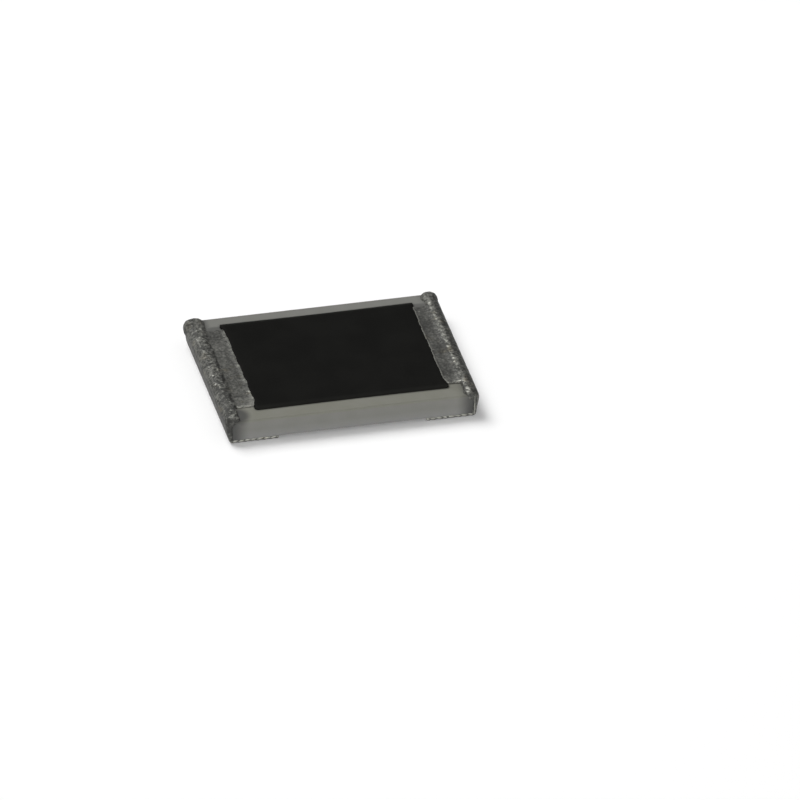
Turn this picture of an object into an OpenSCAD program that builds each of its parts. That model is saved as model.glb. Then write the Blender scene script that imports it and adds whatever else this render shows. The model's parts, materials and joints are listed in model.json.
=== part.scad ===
// Thick-film chip resistor in the 4532 metric case, made of a ceramic plate, printed layers and
// plated ends that wrap round it. X runs along the chip, Y across it and Z up. The origin lies
// under the middle of the chip, in the plane of its two solder pads.

/* [Ceramic substrate] */
// Length of the ceramic plate
substrate_length = 4.27; // [3.6:0.01:5]
// Width of the ceramic plate
substrate_width = 3.2; // [2.6:0.01:3.8]
// Thickness of the ceramic plate
substrate_thickness = 0.38; // [0.25:0.01:0.6]
// Height of the bevel that the snapped score line leaves on the upper edges
score_depth = 0.05; // [0.02:0.005:0.1]
// Width of that bevel
score_width = 0.018; // [0.006:0.001:0.03]

/* [Silver electrodes] */
// Thickness of the printed silver on the upper face
top_silver_thickness = 0.014; // [0.01:0.001:0.02]
// Bare ceramic beside the upper silver
top_silver_margin = 0.42; // [0.34:0.01:0.6]
// Thickness of the printed silver on the lower face
bottom_silver_thickness = 0.026; // [0.015:0.001:0.04]
// Length of the printed silver on the lower face
bottom_silver_length = 0.82; // [0.4:0.01:1.2]
// Bare ceramic beside the lower silver
bottom_silver_margin = 0.03; // [0.03:0.01:0.3]

/* [Resistive film and glass] */
// Thickness of the resistive film
film_thickness = 0.012; // [0.008:0.001:0.02]
// Length of film that lies on each silver electrode
film_overlap = 0.12; // [0.09:0.01:0.3]
// Thickness of the glass over the film
glass_thickness = 0.012; // [0.008:0.001:0.02]
// Glass that reaches past the ends of the film
glass_end_lap = 0.02; // [0.01:0.005:0.05]
// Glass that reaches past the sides of the film
glass_side_lap = 0.1; // [0.05:0.01:0.2]
// Width of the laser's trim cut
kerf_width = 0.05; // [0.02:0.005:0.1]
// Depth of the trim cut into the film, from its front edge
trim_plunge = 0.8; // [0.3:0.05:1.4]
// Length of the trim cut's leg along the chip
trim_run = 0.9; // [0.3:0.05:1.2]
// Place of the trim cut's plunge along the chip
trim_place = -0.55; // [-0.9:0.05:0]

/* [Overcoat] */
// Thickness of the overcoat over the highest glass
overcoat_thickness = 0.018; // [0.012:0.001:0.03]
// Bare ceramic along each side of the overcoat
overcoat_margin = 0.285; // [0.15:0.005:0.32]
// Length at each end of the plate that the overcoat leaves clear
pad_window = 0.455; // [0.4:0.005:0.7]
// Shift of the printed layers towards the right end
print_shift = 0.05; // [-0.06:0.002:0.06]
// Overcoat that reaches past the ends of the glass
overcoat_end_lap = 0.05; // [0.04:0.005:0.1]
// Overcoat that reaches past the sides of the glass
overcoat_side_lap = 0.12; // [0.05:0.01:0.2]
// Radius of the overcoat's corners
overcoat_corner = 0.05; // [0.03:0.01:0.1]
// Inward bow of the overcoat's long sides
overcoat_bow = 0.02; // [0:0.005:0.05]
// Distance over which the overcoat's ends rise to its full height
overcoat_end_round = 0.07; // [0.04:0.01:0.12]
// Distance over which the overcoat's sides rise to its full height
overcoat_side_round = 0.11; // [0.06:0.01:0.2]
// Height of the overcoat's thin side edge
overcoat_side_edge = 0.008; // [0.004:0.001:0.012]
// Overcoat wall that stands above the plated pads
overcoat_lip = 0.004; // [0.002:0.001:0.01]
// Overcoat that runs out beside the pads, past its scalloped ends
overcoat_ear = 0.035; // [0.01:0.005:0.06]
// Spacing of the printing screen's scallops along the overcoat's ends
scallop_pitch = 0.22; // [0.15:0.01:0.4]
// Depth of those scallops
scallop_depth = 0.028; // [0.01:0.002:0.036]

/* [Wrapped ends] */
// Reach of the silver roll past the end of the plate, at its widest
roll_bulge = 0.087; // [0.06:0.001:0.12]
// Reach of the silver roll past the end of the plate, at its foot
roll_toe = 0.03; // [0.02:0.001:0.05]
// Height of the silver roll above the plate
roll_rise = 0.045; // [0.03:0.001:0.06]
// Length of the silver roll on the upper face
roll_wrap = 0.12; // [0.1:0.005:0.2]
// Radius of the roll's outer shoulder
roll_radius = 0.13; // [0.08:0.005:0.16]
// Radius of the roll's inner crown
crown_radius = 0.028; // [0.015:0.001:0.03]
// Radius of the roll's lower edge
toe_radius = 0.045; // [0.02:0.005:0.06]
// Radius of the roll's four corners, seen from above
roll_corner = 0.1; // [0.04:0.005:0.1]
// Radius of the roll's ends, seen along the chip
roll_shoulder = 0.09; // [0.03:0.005:0.1]
// Length of those two roundings along the roll, for each unit of their radius
roll_taper = 2; // [1:0.25:2.5]
// Thickness of the nickel barrier
nickel_thickness = 0.008; // [0.005:0.001:0.012]
// Thickness of the tin plating
tin_thickness = 0.02; // [0.01:0.001:0.024]

/* [Hidden] */
$fn = 32;

LEFT = -1;
RIGHT = 1;
plating = nickel_thickness + tin_thickness;
plate_end = substrate_length / 2;
plate_side = substrate_width / 2;
plate_bottom = bottom_silver_thickness + plating;
plate_top = plate_bottom + substrate_thickness;
silver_foot = plate_bottom - bottom_silver_thickness;

// The printed layers, each inside the one over it
overcoat_reach = plate_end - pad_window;
overcoat_half = plate_side - overcoat_margin;
glass_reach = overcoat_reach - overcoat_end_lap;
glass_half = overcoat_half - overcoat_side_lap;
film_reach = glass_reach - glass_end_lap;
film_half = glass_half - glass_side_lap;
silver_inner = film_reach - film_overlap;
overcoat_far = overcoat_reach + overcoat_ear;
top_silver_half = plate_side - top_silver_margin;
pad_half = top_silver_half + plating;
bottom_silver_half = plate_side - bottom_silver_margin;

// Heights above the upper face of the plate
film_step = top_silver_thickness + film_thickness;
glass_low = film_thickness + glass_thickness;
glass_high = film_step + glass_thickness;
overcoat_top = glass_high + overcoat_thickness;
overcoat_wall = top_silver_thickness + plating + overcoat_lip;

// Shares of the scallops' depth in their long and short waves, and short waves in a long one
long_wave = 0.3;
short_wave = 0.2;
short_waves = 2.3;
// Angle that sets the waves of one end apart from the other's
end_phase = 65;

// Stock that cutting shapes have beyond what they cut
spare = 1;
// Straight steps in a quarter round, in one scallop and in a bowed side
arc_steps = 6;
wave_steps = 6;
bow_steps = 8;

// A profile drawn in X and Z, drawn out along Y to both sides of the middle
module across_chip(half) {
    rotate([90, 0, 0])
        linear_extrude(height = 2 * half, center = true)
            children();
}

// A profile drawn in Y and Z, drawn out along X from one place to another
module along_chip(from, to) {
    translate([from, 0, 0])
        rotate([90, 0, 90])
            linear_extrude(height = to - from)
                children();
}

// An outline drawn in X and Y, drawn up from one height to another
module upward(from, to) {
    translate([0, 0, from])
        linear_extrude(height = to - from)
            children();
}

// The children at the right end, or turned over to the left end
module at_end(side) {
    if (side == RIGHT)
        children();
    else
        mirror([1, 0, 0])
            children();
}

// Section of the plate: square below, with the score line's bevels above
module bevelled_section(half) {
    polygon([
        [-half, plate_bottom],
        [half, plate_bottom],
        [half, plate_top - score_depth],
        [half - score_width, plate_top],
        [-half + score_width, plate_top],
        [-half, plate_top - score_depth]
    ]);
}

module ceramic_substrate() {
    color("#85857f")
        intersection() {
            across_chip(plate_side)
                bevelled_section(plate_end);
            along_chip(-plate_end, plate_end)
                bevelled_section(plate_side);
        }
}

// Upper silver of the right end, out to a layer that lies grow outside it
module top_silver(grow) {
    translate([silver_inner, -top_silver_half - grow, plate_top])
        cube([plate_end - score_width - silver_inner, 2 * (top_silver_half + grow),
              top_silver_thickness + grow]);
}

// Lower silver of the right end, out to a layer that lies grow outside it
module bottom_silver(grow) {
    translate([plate_end - bottom_silver_length - grow, -bottom_silver_half - grow, silver_foot - grow])
        cube([bottom_silver_length + grow, 2 * (bottom_silver_half + grow), bottom_silver_thickness + grow]);
}

module top_electrode(side) {
    color("#c4c3bb")
        at_end(side)
            top_silver(0);
}

module bottom_electrode(side) {
    color("#c4c3bb")
        at_end(side)
            bottom_silver(0);
}

// Path of the laser: in from the front edge of the glass, then along the chip
module trim_cut() {
    leg_y = trim_plunge - film_half;
    upward(plate_top - spare, plate_top + spare) {
        translate([trim_place, -overcoat_half])
            square([kerf_width, leg_y + kerf_width + overcoat_half]);
        translate([trim_place, leg_y])
            square([trim_run, kerf_width]);
    }
}

// Filled section of a layer that lies low on the plate and steps up onto both electrodes
module stepped_section(reach, low, high) {
    foot = silver_inner - low;
    polygon([
        [print_shift - reach, plate_top],
        [print_shift + reach, plate_top],
        [print_shift + reach, plate_top + high],
        [foot, plate_top + high],
        [foot - low, plate_top + low],
        [low - foot, plate_top + low],
        [-foot, plate_top + high],
        [print_shift - reach, plate_top + high]
    ]);
}

module film_envelope() {
    across_chip(film_half)
        stepped_section(film_reach, film_thickness, film_step);
}

module glass_envelope() {
    across_chip(glass_half)
        stepped_section(glass_reach, glass_low, glass_high);
}

module resistive_film() {
    color("#3a3633")
        difference() {
            film_envelope();
            top_silver(0);
            at_end(LEFT)
                top_silver(0);
            trim_cut();
        }
}

module glass_precoat() {
    color("#5f7a66")
        difference() {
            glass_envelope();
            film_envelope();
            top_silver(0);
            at_end(LEFT)
                top_silver(0);
            trim_cut();
        }
}

// Inward wave of the overcoat's end at one place across the chip
function scallop(y, side) =
    scallop_depth * (long_wave + short_wave
        + long_wave * sin(360 * y / scallop_pitch + end_phase * side)
        + short_wave * sin(360 * short_waves * y / scallop_pitch + 2 * end_phase * side));

// Half width of the bowed overcoat at one place along the chip
function bowed_half(x) = overcoat_half - overcoat_bow * (1 - pow(x / overcoat_far, 2));

// Section of the overcoat's roof, with quarter rounds from its edges to its full height and a thin
// lead that runs out beyond them
module domed_section(half, edge, run, lead) {
    rise = [for (k = [0 : arc_steps])
        [half - run * (1 - cos(90 * k / arc_steps)),
         plate_top + edge + (overcoat_top - edge) * sin(90 * k / arc_steps)]];
    fall = [for (k = [arc_steps : -1 : 0]) [-rise[k][0], rise[k][1]]];
    toe = lead > 0 ? [[half + lead, plate_top + overcoat_side_edge]] : [];
    heel = [for (place = toe) [-place[0], place[1]]];
    polygon(concat([[-half - lead, plate_top], [half + lead, plate_top]], toe, rise, fall, heel));
}

// One end of the overcoat's outline: scallops along the pad, and an ear beside it at both sides
function end_line(side) =
    let (count = ceil(2 * pad_half / scallop_pitch * wave_steps),
         ear_y = pad_half + overcoat_ear,
         far_y = overcoat_half + spare,
         wave = [for (k = [0 : count])
             let (y = pad_half * (2 * k / count - 1))
             [overcoat_reach - scallop(y, side), y]])
    concat([[overcoat_far, -far_y], [overcoat_far, -ear_y]], wave, [[overcoat_far, ear_y], [overcoat_far, far_y]]);

// Outline of the overcoat from above: bowed sides, scalloped ends and round corners
module overcoat_outline() {
    side_x = [for (k = [-bow_steps / 2 : bow_steps / 2]) 2 * overcoat_far * k / bow_steps];
    intersection() {
        offset(r = overcoat_corner)
            offset(delta = -overcoat_corner)
                polygon(concat([for (x = side_x) [x, -bowed_half(x)]],
                               [for (x = side_x) [-x, bowed_half(x)]]));
        polygon(concat(end_line(RIGHT), [for (place = end_line(LEFT)) -place]));
    }
}

// The overcoat with all that lies under it
module overcoat_envelope() {
    translate([print_shift, 0, 0])
        intersection() {
            upward(plate_top, plate_top + overcoat_top)
                overcoat_outline();
            across_chip(overcoat_half)
                domed_section(overcoat_reach, overcoat_wall, overcoat_end_round, overcoat_ear);
            along_chip(-overcoat_far, overcoat_far)
                domed_section(overcoat_half, overcoat_side_edge, overcoat_side_round, 0);
        }
}

module overcoat() {
    color("#1b1b19")
        difference() {
            overcoat_envelope();
            difference() {
                glass_envelope();
                trim_cut();
            }
            top_silver(0);
            at_end(LEFT)
                top_silver(0);
        }
}

// Section of the right end's roll: high shoulder, tapering to a small toe, with a flat foot
module roll_section(grow) {
    crest = plate_top + roll_rise;
    hull() {
        translate([plate_end + roll_bulge - roll_radius, crest - roll_radius])
            circle(roll_radius + grow);
        translate([plate_end - roll_wrap + crown_radius, crest - crown_radius])
            circle(crown_radius + grow);
        translate([plate_end + roll_toe - toe_radius, silver_foot + toe_radius])
            circle(toe_radius + grow);
        translate([plate_end - roll_wrap - grow, silver_foot - grow])
            square(crown_radius);
    }
}

// A rectangle between two corners, with its corners rounded by quarter ellipses of two radii
module round_box(low, high, radii) {
    polygon([for (quarter = [0 : 3], k = [0 : arc_steps])
        let (angle = 90 * (quarter + k / arc_steps),
             x = quarter % 3 == 0 ? high[0] - radii[0] : low[0] + radii[0],
             y = quarter < 2 ? high[1] - radii[1] : low[1] + radii[1])
        [x + radii[0] * cos(angle), y + radii[1] * sin(angle)]]);
}

// The roll at the right end, filled, out to a layer that lies grow outside the silver; its upper
// edges are round and its lower half is square
module roll_body(grow) {
    side = plate_side + grow;
    inner = plate_end - roll_wrap - grow;
    outer = plate_end + roll_bulge + grow;
    foot = silver_foot - grow;
    crest = plate_top + roll_rise + grow;
    intersection() {
        across_chip(side)
            roll_section(grow);
        upward(foot, crest)
            round_box([inner, -side], [outer, side], [1, roll_taper] * (roll_corner + grow));
        along_chip(inner, outer) {
            round_box([-side, foot], [side, crest], [roll_taper, 1] * (roll_shoulder + grow));
            translate([-side, foot])
                square([2 * side, substrate_thickness / 2]);
        }
    }
}

// Where the plate and the silver below it are, at the right end, with the bevel set back by ease
module plate_room(ease) {
    across_chip(plate_side + spare)
        polygon([
            [0, silver_foot - spare],
            [plate_end, silver_foot - spare],
            [plate_end, plate_top - score_depth - ease],
            [plate_end - score_width - ease, plate_top],
            [0, plate_top]
        ]);
}

// All the metal of the right end, out to a layer that lies grow outside the silver
module end_metal(grow, ease) {
    difference() {
        roll_body(grow);
        plate_room(ease);
    }
    top_silver(grow);
    bottom_silver(grow);
}

// One plated layer of the right end, between two distances from the silver
module plated_layer(inner, outer, side) {
    at_end(side)
        difference() {
            end_metal(outer, 0);
            end_metal(inner, score_width);
            at_end(side)
                overcoat_envelope();
        }
}

module end_electrode(side) {
    color("#b9b8b0")
        at_end(side)
            difference() {
                roll_body(0);
                plate_room(0);
                top_silver(0);
            }
}

module nickel_barrier(side) {
    color("#8d8a7e")
        plated_layer(0, nickel_thickness, side);
}

module tin_plating(side) {
    color("#6f6f6b")
        plated_layer(nickel_thickness, plating, side);
}

ceramic_substrate();
resistive_film();
glass_precoat();
overcoat();
top_electrode(LEFT);  // top_electrode_left
top_electrode(RIGHT);  // top_electrode_right
bottom_electrode(LEFT);  // bottom_electrode_left
bottom_electrode(RIGHT);  // bottom_electrode_right
end_electrode(LEFT);  // end_electrode_left
end_electrode(RIGHT);  // end_electrode_right
nickel_barrier(LEFT);  // nickel_barrier_left
nickel_barrier(RIGHT);  // nickel_barrier_right
tin_plating(LEFT);  // tin_plating_left
tin_plating(RIGHT);  // tin_plating_right
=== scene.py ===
import json
import math

import bmesh
import bpy
from mathutils import Matrix, Vector


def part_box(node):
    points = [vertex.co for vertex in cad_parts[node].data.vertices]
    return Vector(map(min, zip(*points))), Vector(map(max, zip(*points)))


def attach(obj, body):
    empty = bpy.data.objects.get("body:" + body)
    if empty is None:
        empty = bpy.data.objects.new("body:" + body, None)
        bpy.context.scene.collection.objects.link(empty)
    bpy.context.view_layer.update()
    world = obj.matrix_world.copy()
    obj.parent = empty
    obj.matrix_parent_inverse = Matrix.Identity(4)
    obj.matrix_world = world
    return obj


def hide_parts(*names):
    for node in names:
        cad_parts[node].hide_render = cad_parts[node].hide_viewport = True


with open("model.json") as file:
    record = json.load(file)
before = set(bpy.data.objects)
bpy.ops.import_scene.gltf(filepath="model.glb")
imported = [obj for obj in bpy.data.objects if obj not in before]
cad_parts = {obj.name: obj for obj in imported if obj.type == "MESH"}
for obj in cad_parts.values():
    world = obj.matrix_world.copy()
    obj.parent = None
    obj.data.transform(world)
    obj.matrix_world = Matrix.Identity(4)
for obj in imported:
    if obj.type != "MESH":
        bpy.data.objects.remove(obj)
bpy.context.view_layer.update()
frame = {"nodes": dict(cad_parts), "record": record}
mm = 0.001  # metres in a millimetre: sizes below are in mm
print("stage: frame loaded")


class Wire:  # one socket of a node tree, with the arithmetic that shaders and shapes need
    def __init__(self, sheet, socket):
        self.sheet = sheet
        self.socket = socket

    def __add__(self, other):
        return self.sheet.sum("ADD", self, other)

    def __sub__(self, other):
        return self.sheet.sum("SUBTRACT", self, other)

    def __rsub__(self, other):
        return self.sheet.sum("SUBTRACT", other, self)

    def __mul__(self, other):
        return self.sheet.sum("MULTIPLY", self, other)

    def __truediv__(self, other):
        return self.sheet.sum("DIVIDE", self, other)

    def __rtruediv__(self, other):
        return self.sheet.sum("DIVIDE", other, self)

    def __pow__(self, other):
        return self.sheet.sum("POWER", self, other)

    def __neg__(self):
        return self.sheet.sum("MULTIPLY", self, -1.0)

    def __abs__(self):
        return self.sheet.sum("ABSOLUTE", self)

    def __gt__(self, other):
        return self.sheet.sum("GREATER_THAN", self, other)

    def ramp(self, low, high):  # smooth 0 to 1 between two values
        settings = {"interpolation_type": "SMOOTHSTEP"}
        return self.sheet.node("ShaderNodeMapRange", settings, {0: self, 1: low, 2: high, 3: 0.0, 4: 1.0})

    def wave(self):
        return self.sheet.sum("SINE", self)

    def sign(self):
        return self.sheet.sum("SIGN", self)

    def root(self):
        return self.sheet.sum("SQRT", self)

    __radd__ = __add__
    __rmul__ = __mul__


class Sheet:  # a node tree being drawn, shader or geometry
    def __init__(self, tree):
        self.tree = tree

    def plug(self, socket, value):
        if isinstance(value, Wire):
            self.tree.links.new(value.socket, socket)
        else:
            socket.default_value = value

    def node(self, kind, settings=None, plugs=None, out=0):
        made = self.tree.nodes.new(kind)
        for key, value in (settings or {}).items():
            setattr(made, key, value)
        for key, value in (plugs or {}).items():
            self.plug(made.inputs[key], value)
        return Wire(self, made.outputs[out]) if len(made.outputs) else made

    def sum(self, operation, *values):
        return self.node("ShaderNodeMath", {"operation": operation}, dict(enumerate(values)))

    def least(self, *values):
        return self.sum("MINIMUM", *values)

    def most(self, *values):
        return self.sum("MAXIMUM", *values)

    def vector(self, operation, *values):
        return self.node("ShaderNodeVectorMath", {"operation": operation}, dict(enumerate(values)))

    def join(self, x, y, z):
        return self.node("ShaderNodeCombineXYZ", None, {0: x, 1: y, 2: z})

    def parts(self, value):
        first = self.node("ShaderNodeSeparateXYZ", None, {0: value})
        return [Wire(self, socket) for socket in first.socket.node.outputs]

    def attribute(self, name):  # a number that the piece's own mesh carries
        return self.node("ShaderNodeAttribute", {"attribute_name": name}, out=2)

    def noise(self, place, scale, detail=2.0, roughness=0.5):
        plugs = {"Vector": place, "Scale": scale, "Detail": detail, "Roughness": roughness}
        return self.node("ShaderNodeTexNoise", None, plugs)

    def cells(self, place, scale, soft=0.35, fall=1.5):  # domed grains: 1 in the middle, falling to the edge
        settings = {"feature": "SMOOTH_F1"}
        plugs = {"Vector": place, "Scale": scale, "Smoothness": soft}
        return 1.0 - self.node("ShaderNodeTexVoronoi", settings, plugs) * fall

    def mixColour(self, factor, first, second):
        plugs = {0: factor, 6: first, 7: second}  # sockets 6 and 7 are the two colours
        return self.node("ShaderNodeMix", {"data_type": "RGBA"}, plugs, out=2)


def grey(level, warmth=0.0):  # a colour from its brightness, with less blue when it is warm
    return (level, level, level * (1 - warmth), 1.0)


def newMaterial(name):
    material = bpy.data.materials.new(name)
    material.use_nodes = True
    material.node_tree.nodes.clear()
    return material, Sheet(material.node_tree)


def finishMaterial(sheet, plugs):
    shader = sheet.node("ShaderNodeBsdfPrincipled", None, plugs)
    sheet.node("ShaderNodeOutputMaterial", None, {"Surface": shader})


def spot(sheet):  # place on the object in millimetres
    place = sheet.node("ShaderNodeTexCoord", out=3)  # Object coordinates
    return sheet.vector("MULTIPLY", place, (1 / mm, 1 / mm, 1 / mm))


def bump(sheet, height, depth):  # depth in millimetres
    return sheet.node("ShaderNodeBump", None, {"Strength": 1.0, "Distance": depth * mm, "Height": height})


tinLook = {
    "pit": 0.03, "body": 0.19, "speck": 0.3, "bare": 0.5,  # brightness; bare is rubbed metal and painted highlight
    "warmth": 0.1, "brown": (1.04, 0.96, 0.82),
    "roughBody": 0.6, "roughSpeck": 0.45, "metalBody": 0.35, "metalSpeck": 0.75,
    "grain": (22.0, 3.0, 0.6), "crystal": (12.0, 4.0, 0.72),  # noise: scale per mm, detail, bite
    "hole": (10.0, 3.0, 0.65), "tarnish": (4.5, 3.0), "drift": (2.6, 2.0),
    "holeShift": (7.0, 3.0, 5.0), "tarnishShift": (2.0, 9.0, 4.0),  # keep the noises apart
    "grainDepth": 0.004,
    "beadFrom": (1.93, 1.98), "faceFrom": (2.18, 2.21), "faceTop": (0.34, 0.43),  # blends along x, and up z
    "padGrain": 1.1, "beadGrain": 0.9,  # contrast of the grain on the pads, and what the beads add
    "reliefShare": 0.5, "driftShare": 0.6, "shade": 0.3, "tones": (-0.15, 0.8),
    "thickDrift": 0.5, "thickSpecks": 0.16, "reliefSpecks": 0.1, "specks": (0.62, 0.78),
    "thickHoles": 0.06, "holes": (0.6, 0.74), "holeDepth": 0.8, "faceHoles": 0.5,  # paler on the end faces
    "rubbedAndHighlight": (1.6, 2.6), "tarnished": (0.55, 0.75),
}


def makeTinLook(plan):
    material, sheet = newMaterial("matteTin")
    place = spot(sheet)
    x, y, z = sheet.parts(place)
    pit, body, crystal, bare = [grey(plan[key], plan["warmth"]) for key in ("pit", "body", "speck", "bare")]
    # brightness from the tin skin: pits darker and peaks paler, with painted shade and painted highlights
    relief = sheet.attribute("relief")
    wear = sheet.attribute("wear")  # where crystals lie thick and metal is rubbed, with painted highlights and painted light on rims, edges and tips
    grain = sheet.noise(place, *plan["grain"])
    drift = sheet.noise(place, *plan["drift"])
    shine = sheet.noise(place, *plan["crystal"])
    pocks = sheet.noise(sheet.vector("ADD", place, plan["holeShift"]), *plan["hole"])
    stains = sheet.noise(sheet.vector("ADD", place, plan["tarnishShift"]), *plan["tarnish"])
    bead = abs(x).ramp(*plan["beadFrom"])
    endFace = abs(x).ramp(*plan["faceFrom"]) * (1.0 - z.ramp(*plan["faceTop"]))
    lively = plan["padGrain"] + bead * (1.0 - endFace) * plan["beadGrain"]  # pads and end faces are calmer
    level = relief * plan["reliefShare"] + (grain - 0.5) * lively + drift * plan["driftShare"] - plan["shade"]
    crystalsAndLight = wear + (drift - 0.5) * plan["thickDrift"]
    crystals = shine + crystalsAndLight * plan["thickSpecks"] + (relief - 0.5) * plan["reliefSpecks"]
    speck = crystals.ramp(*plan["specks"])
    hole = (pocks + crystalsAndLight * plan["thickHoles"]).ramp(*plan["holes"])
    tone = sheet.mixColour(level.ramp(*plan["tones"]), pit, body)
    tone = sheet.mixColour(speck, tone, crystal)
    tone = sheet.mixColour(hole * (plan["holeDepth"] - endFace * plan["faceHoles"]), tone, pit)
    tone = sheet.mixColour(wear.ramp(*plan["rubbedAndHighlight"]), tone, bare)
    brown = sheet.vector("MULTIPLY", tone, plan["brown"])
    tone = sheet.mixColour(stains.ramp(*plan["tarnished"]), tone, brown)
    rough = plan["roughBody"] + speck * (plan["roughSpeck"] - plan["roughBody"])
    metal = plan["metalBody"] + speck * (plan["metalSpeck"] - plan["metalBody"])
    normal = bump(sheet, grain + shine - hole, plan["grainDepth"])
    finishMaterial(sheet, {"Base Color": tone, "Roughness": rough, "Metallic": metal, "Normal": normal})
    return material


ceramicLook = {
    # painted light: the alumina is one colour at different brightnesses, the well-lit top darkest, then side,
    # then edge, so that they render alike
    "top": 0.172, "topWarmth": 0.19, "backWarmth": 0.1, "side": 0.18, "sideWarmth": 0.1, "edge": 0.19,
    "topFrom": (0.018, 0.001), "edgeFrom": (0.05, 0.022),  # depths below the plate's top
    "backFrom": (-1.2, 1.2),
    "low": 0.252, "lowWarmth": 0.03, "lowRise": (0.04, 0.27),  # painted light: paler towards the floor, which lights the sides from below
    "fleck": 0.29, "fleckWarmth": 0.02, "fleckShare": 0.22, "flecks": (0.35, 0.95), "grainShare": 0.6,
    "cloudShare": 0.7, "grain": (60.0, 4.0, 0.6), "cloud": (2.6, 3.0), "grainDepth": 0.0015,
    "rough": 0.62, "gloss": 0.3,
    "darkening": 0.88, "darkeningTone": 0.05, "darkeningWarmth": 0.03, "shadeFrom": (1.8, 2.12),  # painted shade beside the plated ends
    "lean": 0.03,  # the painted shade reaches further in at the left
    "halos": [(-2.03, -1.41, 0.15, 0.3),  # painted shade round the tips: x, y, near, far
              (-2.0, 1.38, 0.06, 0.22), (-2.0, 1.5, 0.06, 0.22)],
    "smear": 0.61, "smearAcross": (1.55, 1.6),  # thin metal behind the pads
    "smearFrom": (1.1, 1.15), "smearTo": (1.29, 1.36),
    "bleed": 0.012, "bleedWarmth": 0.1, "bleedFrom": 1.265, "bleedTo": 1.345,  # resin beside the overcoat
    "bleedFlare": 0.015, "bleedBack": (0.06, 0.045), "bleedTurn": (-0.1, 0.1),  # wider along the back edge
    "bleedLeft": (1.58, 1.7), "bleedRight": (1.68, 1.82),
}


def makeCeramicLook(plan, plate):
    material, sheet = newMaterial("alumina")
    place = spot(sheet)
    x, y, z = sheet.parts(place)
    # painted light: darker colour on the top, paler on the turned edge and low on the sides
    upper = z.ramp(*[plate["top"] - depth for depth in plan["topFrom"]])
    turning = z.ramp(*[plate["top"] - depth for depth in plan["edgeFrom"]])
    low = grey(plan["low"], plan["lowWarmth"])
    side = sheet.mixColour(z.ramp(*plan["lowRise"]), low, grey(plan["side"], plan["sideWarmth"]))
    turned = sheet.mixColour(turning, side, grey(plan["edge"], plan["topWarmth"]))
    front, back = [grey(plan["top"], plan[key]) for key in ("topWarmth", "backWarmth")]
    top = sheet.mixColour(y.ramp(*plan["backFrom"]), front, back)
    body = sheet.mixColour(upper, turned, top)
    grain = sheet.noise(place, *plan["grain"])
    cloud = sheet.noise(place, *plan["cloud"])
    flecks = (grain * plan["grainShare"] + cloud * plan["cloudShare"]).ramp(*plan["flecks"])
    tone = sheet.mixColour(flecks * plan["fleckShare"], body, grey(plan["fleck"], plan["fleckWarmth"]))
    # painted shade beside the plated ends and round the tips; the smear behind the pads is thin metal
    dark = abs(x - upper * plan["lean"]).ramp(*plan["shadeFrom"])
    for haloX, haloY, near, far in plan["halos"]:
        plugs = {0: place, 1: (haloX, haloY, plate["top"])}
        away = sheet.node("ShaderNodeVectorMath", {"operation": "DISTANCE"}, plugs, out=1)
        dark = sheet.most(dark, 1.0 - away.ramp(near, far))
    smear = abs(x).ramp(*plan["smearAcross"]) * y.ramp(*plan["smearFrom"]) * (1.0 - y.ramp(*plan["smearTo"]))
    darkening = sheet.most(dark * plan["darkening"], smear * upper * plan["smear"])
    tone = sheet.mixColour(darkening, tone, grey(plan["darkeningTone"], plan["darkeningWarmth"]))
    along = (1.0 - (-x).ramp(*plan["bleedLeft"])) * (1.0 - x.ramp(*plan["bleedRight"])) * upper
    atBack = y.ramp(*plan["bleedTurn"])
    bleedFrom = plan["bleedFrom"] + atBack * plan["bleedBack"][0]
    bleedTo = plan["bleedTo"] + atBack * plan["bleedBack"][1] + abs(x) * plan["bleedFlare"]
    bleed = along * (1.0 - abs(y).ramp(bleedFrom, bleedTo))
    tone = sheet.mixColour(bleed, tone, grey(plan["bleed"], plan["bleedWarmth"]))
    finishMaterial(sheet, {
        "Base Color": tone, "Roughness": plan["rough"], "Specular IOR Level": plan["gloss"],
        "Normal": bump(sheet, grain, plan["grainDepth"])})
    return material


overcoatLook = {
    "colour": 0.006, "cloudy": 0.15, "warmth": 0.12, "cloud": (1.7, 2.0), "clouds": (0.3, 0.7),
    "thin": 0.018, "thinFrom": (1.21, 1.36),  # the print thins out at its long edges
    "peel": (26.0, 3.0), "peelDepth": 0.0012, "rough": 0.68, "roughPeel": 0.12, "gloss": 0.05,
}


def makeOvercoatLook(plan):
    material, sheet = newMaterial("blackOvercoat")
    place = spot(sheet)
    across = sheet.parts(place)[1]
    peel = sheet.noise(place, *plan["peel"])
    cloud = sheet.noise(place, *plan["cloud"])
    dark, pale = [grey(plan["colour"] * (1 + turn * plan["cloudy"]), plan["warmth"]) for turn in (-1, 1)]
    tone = sheet.mixColour(cloud.ramp(*plan["clouds"]), dark, pale)
    tone = sheet.mixColour(abs(across).ramp(*plan["thinFrom"]), tone, grey(plan["thin"], plan["warmth"]))
    rough = plan["rough"] + (peel - 0.5) * plan["roughPeel"]
    finishMaterial(sheet, {
        "Base Color": tone, "Roughness": rough, "Specular IOR Level": plan["gloss"],
        "Normal": bump(sheet, peel, plan["peelDepth"])})
    return material


layerGrain = {"detail": 4.0, "bite": 0.6, "tones": (0.3, 0.7), "depth": 0.001}
layerLooks = {  # layers that lie inside the chip: brightness between two values, grains per mm, finish
    "silver": {"name": "silver", "tones": (0.5, 0.7), "grain": 40.0, "rough": 0.4, "metal": 1.0},
    "nickel": {"name": "nickel", "tones": (0.3, 0.42), "grain": 40.0, "rough": 0.4, "metal": 1.0},
    "resistor_film": {"name": "resistiveFilm", "tones": (0.02, 0.05), "grain": 30.0, "rough": 0.5,
                      "metal": 0.0},
    "glass_coat": {"name": "glassPrecoat", "tones": (0.08, 0.13), "grain": 20.0, "rough": 0.25, "metal": 0.0},
}


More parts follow.
